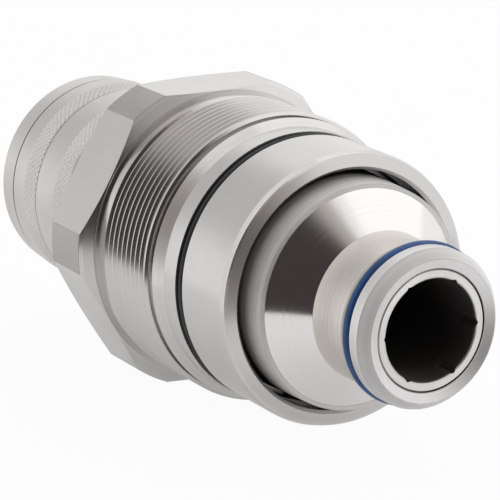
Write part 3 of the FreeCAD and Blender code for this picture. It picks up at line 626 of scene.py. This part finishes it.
def make_zone_mask():
    """Mask that is 1 between two radii about the axis and two stations along it."""
    tree, start, end = new_group(
        "Zone mask",
        [("Position", "NodeSocketVector", None), ("Inner radius", "NodeSocketFloat", 0.0),
         ("Outer radius", "NodeSocketFloat", 1.0), ("First station", "NodeSocketFloat", -1.0),
         ("Last station", "NodeSocketFloat", 1.0), ("Softness", "NodeSocketFloat", 0.0001)],
        [("Mask", "NodeSocketFloat")])
    parts = tree.nodes.new("ShaderNodeSeparateXYZ")
    tree.links.new(start.outputs["Position"], parts.inputs[0])
    mask = None
    for value, low, high in ((axis_radius(tree, start.outputs["Position"]), "Inner radius", "Outer radius"),
                             (parts.outputs["X"], "First station", "Last station")):
        before = math_node(tree, "SUBTRACT", start.outputs[low], start.outputs["Softness"])
        after = math_node(tree, "ADD", start.outputs[high], start.outputs["Softness"])
        rise = ramp_between(tree, value, before, start.outputs[low])
        fall = ramp_between(tree, value, start.outputs[high], after, 1.0, 0.0)
        band = math_node(tree, "MULTIPLY", rise, fall)
        mask = band if mask is None else math_node(tree, "MULTIPLY", mask, band)
    tree.links.new(mask, end.inputs["Mask"])
    return tree


def place_group(tree, group, position, **values):
    """Places a shared effect in a material and sets its plain values."""
    node = tree.nodes.new("ShaderNodeGroup")
    node.node_tree = bpy.data.node_groups[group]
    tree.links.new(position, node.inputs["Position"])
    for label, value in values.items():
        node.inputs[label.replace("_", " ")].default_value = value
    return node


def new_finish(name):
    """Empty material; returns its tree, its shader and the position on the part."""
    material = bpy.data.materials.get(name) or bpy.data.materials.new(name)
    tree = empty_tree(material)
    shader = tree.nodes.new("ShaderNodeBsdfPrincipled")
    output = tree.nodes.new("ShaderNodeOutputMaterial")
    tree.links.new(shader.outputs["BSDF"], output.inputs["Surface"])
    place = tree.nodes.new("ShaderNodeTexCoord")
    return tree, shader, place.outputs["Object"]


def add_bump(tree, shader, height, distance):
    """Feeds a height to the shader's normal."""
    bump = tree.nodes.new("ShaderNodeBump")
    bump.inputs["Distance"].default_value = distance
    tree.links.new(height, bump.inputs["Height"])
    tree.links.new(bump.outputs["Normal"], shader.inputs["Normal"])


def turned_metal(name, colour, shade, roughness, lines, line_height, zones=(), drawn=None):
    """Turned metal: lathe rings in tone, roughness and bump, wiped patches, and zones with their own finish,
    some of which hold painted shade and painted highlights.

    A zone is its limits, its colour, its roughness and its metallic. Within the limits that drawn gives,
    straight streaks take the place of the rings.
    """
    tree, shader, position = new_finish(name)
    rings = place_group(tree, "Turning lines", position, Lines_per_metre=lines)
    marks = place_group(tree, "Handling marks", position, Scale=70.0)
    fine, height = rings.outputs["Tone"], rings.outputs["Height"]
    if drawn is not None:
        bar = place_group(tree, "Zone mask", position, **drawn)
        streaks = place_group(tree, "Drawn streaks", position)
        fine = mix_values(tree, bar.outputs["Mask"], fine, streaks.outputs["Tone"])
        height = mix_values(tree, bar.outputs["Mask"], height, streaks.outputs["Height"])
    tone = math_node(tree, "MULTIPLY", fine, FINE_TONE)
    tone = math_node(tree, "MULTIPLY_ADD", marks.outputs["Mask"], MARK_TONE, tone)
    metal = mix_colours(tree, tone, colour, shade)
    rough = math_node(tree, "MULTIPLY_ADD", tone, ROUGHNESS_SPREAD * roughness, ROUGHNESS_FLOOR * roughness)
    metallic = 1.0
    for limits, zone_colour, zone_roughness, zone_metallic in zones:
        mask = place_group(tree, "Zone mask", position, **limits).outputs["Mask"]
        worn = [ZONE_SHADE * part for part in zone_colour]
        metal = mix_colours(tree, mask, metal, mix_colours(tree, tone, zone_colour, worn))
        rough = mix_values(tree, mask, rough, zone_roughness)
        if zone_metallic < 1:
            metallic = mix_values(tree, mask, metallic, zone_metallic)
    tree.links.new(metal, shader.inputs["Base Color"])
    tree.links.new(rough, shader.inputs["Roughness"])
    feed(tree, shader.inputs["Metallic"], metallic)
    add_bump(tree, shader, height, line_height)


def moulded_ring(name, colour, shade, roughness, grain, grain_height):
    """Rubber or plastic seal: cloudy tone, fine grain and uneven gloss."""
    tree, shader, position = new_finish(name)
    marks = place_group(tree, "Handling marks", position, Scale=180.0)
    tree.links.new(mix_colours(tree, marks.outputs["Mask"], colour, shade), shader.inputs["Base Color"])
    rough = math_node(tree, "MULTIPLY_ADD", marks.outputs["Mask"], 0.25, roughness)
    tree.links.new(rough, shader.inputs["Roughness"])
    skin = tree.nodes.new("ShaderNodeTexNoise")
    skin.inputs["Scale"].default_value = grain
    tree.links.new(position, skin.inputs["Vector"])
    add_bump(tree, shader, skin.outputs["Fac"], grain_height)


# Operators

class COUPLER_OT_finishes(bpy.types.Operator):
    """Makes the shared effects and the finish of every material slot, and paints the solids with them"""

    bl_idname = "coupler.finishes"
    bl_label = "Metal and seal finishes"

    def execute(self, context):
        look = context.scene.coupler_finishes
        make_turning_lines()
        make_handling_marks()
        make_drawn_streaks()
        make_zone_mask()
        turned_metal("plated_steel", look.sleeve, look.sleeve_shade, 0.36, 5000.0, 2e-6)
        # Painted shade: the housing's chamber behind the pilot's lip is painted near black, non-metallic
        chamber_shade = {"Outer_radius": 0.0199, "Last_station": 0.0315, "Softness": 0.0015}
        # Painted shade: the hexagon's corner lands are darkened, on top of their rougher turned finish
        corners = {"Inner_radius": 0.0271, "Softness": 0.00004}
        chamfer = {"Inner_radius": 0.0246, "Outer_radius": 0.0271, "First_station": -0.0012,
                   "Last_station": -0.00002, "Softness": 0.00004}
        bar = {"Last_station": -0.0003}
        turned_metal("housing_steel", look.steel, look.steel_shade, 0.19, 5000.0, 1.2e-6,
                     [(corners, look.corner, 0.4, 1.0), (chamfer, look.steel, 0.24, 1.0),
                      (chamber_shade, look.painted_bore_shade, 0.6, 0.0)], bar)
        barrel = {"Inner_radius": 0.0177, "Last_station": 0.0424}
        # Painted shade: the barrel's rear inside the pilot's bore is painted near black and moves with the
        # core
        barrel_depth_shade = {"Inner_radius": 0.0175, "Last_station": 0.0357, "Softness": 0.0017}
        neck = {"First_station": 0.0474, "Last_station": 0.0575}
        nose = {"First_station": 0.0577}
        # Painted highlight: the nose's front bevel is pale matt white instead of reflecting steel
        bevel = {"Inner_radius": 0.01128, "First_station": 0.06062, "Softness": 0.00003}
        bush_lip = {"Inner_radius": 0.0097, "Outer_radius": 0.00985, "First_station": 0.0609,
                    "Softness": 0.00003}
        # Painted shade: the tail piece's bore is painted dark grey, non-metallic
        nose_bore_shade = {"Outer_radius": 0.0087, "First_station": 0.03, "Last_station": 0.0612}
        turned_metal("polished_steel", look.polished, look.polished_shade, 0.14, 2600.0, 5e-7,
                     [(barrel, look.barrel, 0.45, 0.5), (neck, look.neck, 0.3, 1.0),
                      (nose, look.nose, 0.36, 1.0), (bevel, look.bevel, 0.5, 0.0),
                      (bush_lip, look.bush, 0.55, 0.0), (barrel_depth_shade, look.painted_bore_shade, 0.6, 0.0),
                      (nose_bore_shade, look.socket, 0.5, 0.0)])
        # Painted shade: the bush's hexagon socket is painted dark grey, non-metallic
        bush_bore_shade = {"Last_station": 0.0616}
        turned_metal("bush_steel", look.bush, look.bush_shade, 0.5, 3000.0, 4e-6,
                     [(bush_bore_shade, look.socket, 0.5, 0.0)])
        turned_metal("spring_steel", look.wire, look.wire_shade, 0.3, 9000.0, 3e-6)
        turned_metal("ball_steel", look.polished, look.polished_shade, 0.06, 2000.0, 2e-7)
        turned_metal("bronze", look.bronze, look.bronze_shade, 0.3, 4000.0, 5e-6)
        moulded_ring("black_rubber", look.rubber, look.rubber_shade, 0.42, 4000.0, 1e-5)
        moulded_ring("blue_seal", look.seal, look.seal_shade, 0.28, 3000.0, 8e-6)
        moulded_ring("cream_plastic", look.cream, look.cream_shade, 0.35, 2500.0, 6e-6)
        for part in frame["record"]["subparts"]:
            solid = frame["nodes"][part["node"]]
            solid.data.materials.clear()
            solid.data.materials.append(bpy.data.materials[part["material_slot"]])
        return {"FINISHED"}


class COUPLER_OT_housing(bpy.types.Operator):
    """Turns the housing's threaded wall down to the root, between the neck and the plain end band"""

    bl_idname = "coupler.housing"
    bl_label = "Housing"

    def execute(self, context):
        sizes = context.scene.coupler_sizes
        root = THREAD_RADIUS - sizes.thread_depth
        step = 0.1 * sizes.thread_pitch
        run_out = sizes.thread_neck + sizes.thread_run_out
        band = THREAD_WALL - sizes.thread_end_band
        piece = merged_copy("housing", "threaded_housing")
        for station in (sizes.thread_neck, run_out, band - step, band):
            cut_across(station)
        pick(piece, lambda point: run_out - step < point.x < band - step / 2 and radius_of(point) > root)
        scale_about_axis((root - step) / THREAD_RADIUS)
        finish_piece(piece, "housing", "housing_steel", SMOOTH_TURNED)
        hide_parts("housing")
        return {"FINISHED"}


class COUPLER_OT_tail(bpy.types.Operator):
    """Tapers the tail piece's barrel slightly, brings the foot of its cone forward and bevels its nose"""

    bl_idname = "coupler.tail"
    bl_label = "Tail piece"

    def shape_nose(self, piece, points):
        """Moves the rings of the nose to a bevel, a sharp front edge and a shallow cone inside it."""
        land = max(radius_of(point) for point in points)
        land_end = max(point.x for point in points if radius_of(point) > land - SLACK)
        front = [(radius_of(point), point.x) for point in points
                 if point.x > land_end + SLACK and radius_of(point) > NOSE_SEAT]
        rings = []
        for radius, station in sorted(front, key=lambda place: (-round(place[0], 4), place[1])):
            if not any(math.dist((radius, station), ring) < SLACK for ring in rings):
                rings.append((radius, station))
        if len(rings) != len(NOSE_RINGS):
            raise RuntimeError(f"the nose has {len(rings)} rings instead of {len(NOSE_RINGS)}")
        for (radius, station), (new_station, new_radius) in zip(rings, NOSE_RINGS):
            pick(piece, lambda point: math.dist((radius_of(point), point.x), (radius, station)) < SLACK)
            scale_about_axis(new_radius / radius)
            bpy.ops.transform.translate(value=(new_station - station, 0, 0))

    def execute(self, context):
        sizes = context.scene.coupler_sizes
        piece = merged_copy("tail_piece", "turned_tail")
        points = [point.co.copy() for point in bmesh.from_edit_mesh(piece.data).verts]
        barrel = max(radius_of(point) for point in points)
        foot = max(point.x for point in points if radius_of(point) > BARREL_EDGE_SHARE * barrel)
        skin = BARREL_SKIN_SHARE * barrel
        pick(piece, lambda point: point.x < foot - SLACK and radius_of(point) > skin)
        scale_about_axis(sizes.barrel_rear / barrel)
        cone = [point for point in points if foot - SLACK < point.x < sizes.cone_end - SLACK]
        for station in sorted({round(point.x, 5) for point in cone}):
            share = (sizes.cone_end - station) / (sizes.cone_end - foot)
            pick(piece, lambda point: abs(point.x - station) < SLACK and radius_of(point) > sizes.cone_top)
            scale_about_axis(1 + share * (sizes.barrel_front / barrel - 1))
            bpy.ops.transform.translate(value=(share * sizes.cone_foot, 0, 0))
        self.shape_nose(piece, [point for point in points if point.x > sizes.seal_station])
        finish_piece(piece, "core", "polished_steel", SMOOTH_TURNED)
        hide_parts("tail_piece")
        return {"FINISHED"}


class COUPLER_OT_block_thread(bpy.types.Operator):
    """Winds the block thread's profile along the axis and trims it between the neck and the undercut"""

    bl_idname = "coupler.block_thread"
    bl_label = "Block thread"

    def execute(self, context):
        sizes = context.scene.coupler_sizes
        neck = sizes.thread_neck
        band = THREAD_WALL - sizes.thread_end_band
        flank = (sizes.thread_pitch - sizes.thread_crest - sizes.thread_root) / 2
        start = sizes.thread_first_groove - sizes.thread_root / 2 - LEAD_IN_TURNS * sizes.thread_pitch
        turns = math.ceil((band - start) / sizes.thread_pitch) + 1
        bpy.ops.mesh.primitive_plane_add(
            size=sizes.thread_root, location=(start, 0, THREAD_RADIUS - sizes.thread_depth))
        piece = new_primitive("block_thread")
        start_editing(piece)
        bpy.ops.mesh.merge(type="CENTER")
        profile = ((sizes.thread_root, 0), (flank, sizes.thread_depth), (sizes.thread_crest, 0),
                   (flank, -sizes.thread_depth))
        for along, out in profile:
            bpy.ops.mesh.extrude_region_move(TRANSFORM_OT_translate={"value": (along, 0, out)})
        bpy.ops.object.mode_set(mode="OBJECT")
        winding = piece.modifiers.new("Winding", "SCREW")
        winding.axis = "X"
        winding.screw_offset = sizes.thread_pitch
        winding.iterations = turns
        winding.steps = sizes.thread_steps
        winding.render_steps = sizes.thread_steps
        winding.use_merge_vertices = True
        winding.merge_threshold = WELD
        bpy.ops.object.modifier_apply(modifier=winding.name)
        start_editing(piece)
        bpy.ops.mesh.remove_doubles(threshold=WELD)
        cut_across(neck, clear_before=True)
        cut_across(band, clear_after=True)
        close_ring(piece, neck, band, THREAD_INNER_SHARE)
        finish_piece(piece, "housing", "housing_steel", SMOOTH_THREAD)
        return {"FINISHED"}


class COUPLER_OT_nose_seal(bpy.types.Operator):
    """Lays the round blue seal in the nose's groove, from which it stands slightly proud"""

    bl_idname = "coupler.nose_seal"
    bl_label = "Nose seal"

    def execute(self, context):
        sizes = context.scene.coupler_sizes
        bpy.ops.mesh.primitive_torus_add(
            location=(sizes.seal_station, 0, 0), rotation=(0, math.pi / 2, 0),
            major_segments=192, minor_segments=32,
            major_radius=sizes.seal_radius, minor_radius=sizes.seal_section)
        piece = new_primitive("round_nose_seal")
        finish_piece(piece, "core", "blue_seal", SMOOTH_SEAL)
        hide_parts("tail_seal")
        return {"FINISHED"}


class COUPLER_OT_knurls(bpy.types.Operator):
    """Rolls the diamond knurl of the two grip bands on the release sleeve"""

    bl_idname = "coupler.knurls"
    bl_label = "Knurled grips"

    def pick_faces(self, piece, place_of, odd):
        """Selects the odd or the even fields of the ring that are still four-sided, as on a chessboard."""
        bpy.ops.mesh.select_mode(type="FACE")
        bpy.ops.mesh.select_all(action="DESELECT")
        mesh = bmesh.from_edit_mesh(piece.data)
        for face in mesh.faces:
            column, level = (math.floor(value) for value in place_of(face.calc_center_median()))
            face.select_set(len(face.verts) == 4 and (column + level) % 2 == odd)
        bmesh.update_edit_mesh(piece.data)

    def band(self, name, end, length, sizes):
        """One knurled ring that ends at a station."""
        rows = max(2, round(length / sizes.knurl_row))
        row = length / rows
        start = end - length
        columns = 2 * sizes.knurl_count
        root = SLEEVE_RADIUS - sizes.knurl_height
        bpy.ops.mesh.primitive_circle_add(vertices=columns, radius=root, location=(start, 0, 0),
                                          rotation=(0, math.pi / 2, 0))
        piece = new_primitive(name)
        start_editing(piece)
        for _ in range(rows):
            extrude_along(row)

        def place_of(point):
            """Column and row of a place on the ring, counted in parts of a diamond."""
            return math.atan2(point.z, point.y) / (2 * math.pi / columns), (point.x - start) / row

        def is_tip(point):
            """True for a diamond's middle and for the smooth ends of the ring."""
            column, level = (round(value) for value in place_of(point))
            return level in (0, rows) or (column + level) % 2 == 1

        for odd, method in ((0, "FIXED"), (1, "FIXED_ALTERNATE")):
            self.pick_faces(piece, place_of, odd)
            bpy.ops.mesh.quads_convert_to_tris(quad_method=method)
        bpy.ops.mesh.select_mode(type="VERT")
        pick(piece, is_tip)
        scale_about_axis(SLEEVE_RADIUS / root)
        close_ring(piece, start, end, KNURL_INNER_SHARE)
        finish_piece(piece, "sleeve", "plated_steel", SMOOTH_KNURL)

    def execute(self, context):
        sizes = context.scene.coupler_sizes
        self.band("front_knurl", SLEEVE_PARTING, sizes.front_knurl + sizes.knurl_edge, sizes)
        self.band("rear_knurl", SLEEVE_END - sizes.knurl_edge, sizes.rear_knurl, sizes)
        return {"FINISHED"}


class COUPLER_OT_springs(bpy.types.Operator):
    """Puts painted copies of the three springs' solids in their place; the bodies that each one bears on are
    listed but not used
    """

    bl_idname = "coupler.springs"
    bl_label = "Springs"

    def execute(self, context):
        bearings = (("float_spring", "core", "housing"), ("sleeve_spring", "sleeve", "core"),
                    ("shutoff_spring", "shutoff", "core"))
        for node, pushed, held in bearings:
            piece = merged_copy(node, "coiled_" + node)
            paint_piece(piece, "spring_steel", SMOOTH_WIRE)
            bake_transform(piece)
            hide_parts(node)
        return {"FINISHED"}


class COUPLER_OT_studio(bpy.types.Operator):
    """Lays the white sheet, hangs the softbox, paints the surround and sets up the camera"""

    bl_idname = "coupler.studio"
    bl_label = "Studio"

    def sheet(self, stage):
        """White sheet under the part, whose near edge shows in the polished cone."""
        bpy.ops.mesh.primitive_plane_add(size=2 * stage.floor_far, location=(0, 0, FLOOR_HEIGHT))
        sheet = new_primitive("white_sheet")
        start_editing(sheet)
        bpy.ops.mesh.bisect(plane_co=(0, -stage.floor_near, 0), plane_no=(0, 1, 0), clear_inner=True)
        bpy.ops.mesh.select_all(action="SELECT")
        bpy.ops.mesh.bisect(plane_co=(stage.floor_front, 0, 0), plane_no=(1, 0, 0), clear_outer=True)
        bpy.ops.object.mode_set(mode="OBJECT")
        material = bpy.data.materials.new("white_sheet")
        tree = empty_tree(material)
        output = tree.nodes.new("ShaderNodeOutputMaterial")
        paper = tree.nodes.new("ShaderNodeBsdfDiffuse")
        paper.inputs["Color"].default_value = (0.9, 0.9, 0.9, 1)
        glow = tree.nodes.new("ShaderNodeEmission")
        rays = tree.nodes.new("ShaderNodeLightPath")
        mirrored = math_node(tree, "MULTIPLY", rays.outputs["Is Glossy Ray"], stage.floor_sheen)
        seen = math_node(tree, "MULTIPLY_ADD", rays.outputs["Is Camera Ray"], stage.floor_glow, mirrored)
        blend_shaders(tree, seen, paper.outputs["BSDF"], glow.outputs["Emission"], output)
        sheet.data.materials.append(material)

    def surround(self, scene, stage):
        """White room with dim and unlit parts; the camera itself sees plain white."""
        world = bpy.data.worlds.new("White room")
        scene.world = world
        tree = empty_tree(world)
        output = tree.nodes.new("ShaderNodeOutputWorld")
        room = tree.nodes.new("ShaderNodeBackground")
        white = tree.nodes.new("ShaderNodeBackground")
        place = tree.nodes.new("ShaderNodeTexCoord")
        colour = stage.surround
        patches = (
            (stage.wall_direction, WALL_OUTER, WALL_INNER, stage.wall_shade),
            (stage.dark_direction, stage.dark_outer, stage.dark_middle, stage.dim_side),
            (stage.dark_direction, stage.dark_middle, stage.dark_inner, stage.dark_side),
            (stage.fill_direction, FILL_OUTER, FILL_INNER, stage.fill_shade),
        )
        for direction, outer, inner, shade in patches:
            facing = tree.nodes.new("ShaderNodeVectorMath")
            facing.operation = "DOT_PRODUCT"
            tree.links.new(place.outputs["Generated"], facing.inputs[0])
            facing.inputs[1].default_value = direction
            mask = ramp_between(tree, facing.outputs["Value"], math.cos(outer), math.cos(inner))
            colour = mix_colours(tree, mask, colour, shade)
        tree.links.new(colour, room.inputs["Color"])
        rays = tree.nodes.new("ShaderNodeLightPath")
        white.inputs["Color"].default_value = (1, 1, 1, 1)
        blend_shaders(tree, rays.outputs["Is Camera Ray"], room.outputs["Background"],
                      white.outputs["Background"], output)

    def softbox(self, stage):
        """Square softbox above and behind the part."""
        place = stage.softbox_place
        turn = (-math.atan2(place[1], place[2]), 0, 0)
        bpy.ops.object.light_add(type="AREA", location=place, rotation=turn)
        lamp = bpy.context.active_object
        lamp.name = "softbox"
        lamp.data.energy = stage.softbox_power
        lamp.data.size = stage.softbox_size

    def camera(self, scene, stage):
        """Camera on the photograph's line of sight."""
        flat = math.cos(stage.elevation) * stage.distance
        place = (stage.aim[0] + flat * math.sin(stage.azimuth),
                 stage.aim[1] - flat * math.cos(stage.azimuth),
                 stage.aim[2] + stage.distance * math.sin(stage.elevation))
        turn = (math.pi / 2 - stage.elevation, 0, stage.azimuth)
        bpy.ops.object.camera_add(location=place, rotation=turn)
        camera = bpy.context.active_object
        camera.data.sensor_width = SENSOR_WIDTH
        camera.data.lens = stage.lens
        camera.data.clip_start = 0.01
        scene.camera = camera

    def execute(self, context):
        scene = context.scene
        stage = scene.coupler_stage
        self.sheet(stage)
        self.surround(scene, stage)
        self.softbox(stage)
        self.camera(scene, stage)
        scene.view_settings.view_transform = "Standard"
        return {"FINISHED"}


class COUPLER_PT_panel(bpy.types.Panel):
    """Sizes, finishes and studio of the coupler"""

    bl_label = "Flat face coupler"
    bl_idname = "COUPLER_PT_panel"
    bl_space_type = "VIEW_3D"
    bl_region_type = "UI"
    bl_category = "Coupler"

    def draw(self, context):
        layout = self.layout
        scene = context.scene
        for settings in (scene.coupler_sizes, scene.coupler_finishes, scene.coupler_stage):
            box = layout.box()
            for name in settings.__annotations__:
                box.prop(settings, name)
        for step in STEPS:
            layout.operator(step.bl_idname)


STEPS = (COUPLER_OT_finishes, COUPLER_OT_housing, COUPLER_OT_block_thread, COUPLER_OT_tail,
         COUPLER_OT_nose_seal, COUPLER_OT_knurls, COUPLER_OT_springs, COUPLER_OT_studio)
CLASSES = (CouplerSizes, CouplerFinishes, CouplerStage, *STEPS, COUPLER_PT_panel)


def register():
    """Adds the classes and the scene's settings."""
    for item in CLASSES:
        bpy.utils.register_class(item)
    bpy.types.Scene.coupler_sizes = bpy.props.PointerProperty(type=CouplerSizes)
    bpy.types.Scene.coupler_finishes = bpy.props.PointerProperty(type=CouplerFinishes)
    bpy.types.Scene.coupler_stage = bpy.props.PointerProperty(type=CouplerStage)


def unregister():
    """Removes the scene's settings and the classes."""
    del bpy.types.Scene.coupler_stage
    del bpy.types.Scene.coupler_finishes
    del bpy.types.Scene.coupler_sizes
    for item in reversed(CLASSES):
        bpy.utils.unregister_class(item)


def main():
    """Dresses the part."""
    register()
    bpy.ops.coupler.finishes()
    bpy.ops.coupler.housing()
    bpy.ops.coupler.block_thread()
    bpy.ops.coupler.tail()
    bpy.ops.coupler.nose_seal()
    bpy.ops.coupler.knurls()
    bpy.ops.coupler.springs()
    bpy.ops.coupler.studio()


if __name__ == "__main__":
    main()
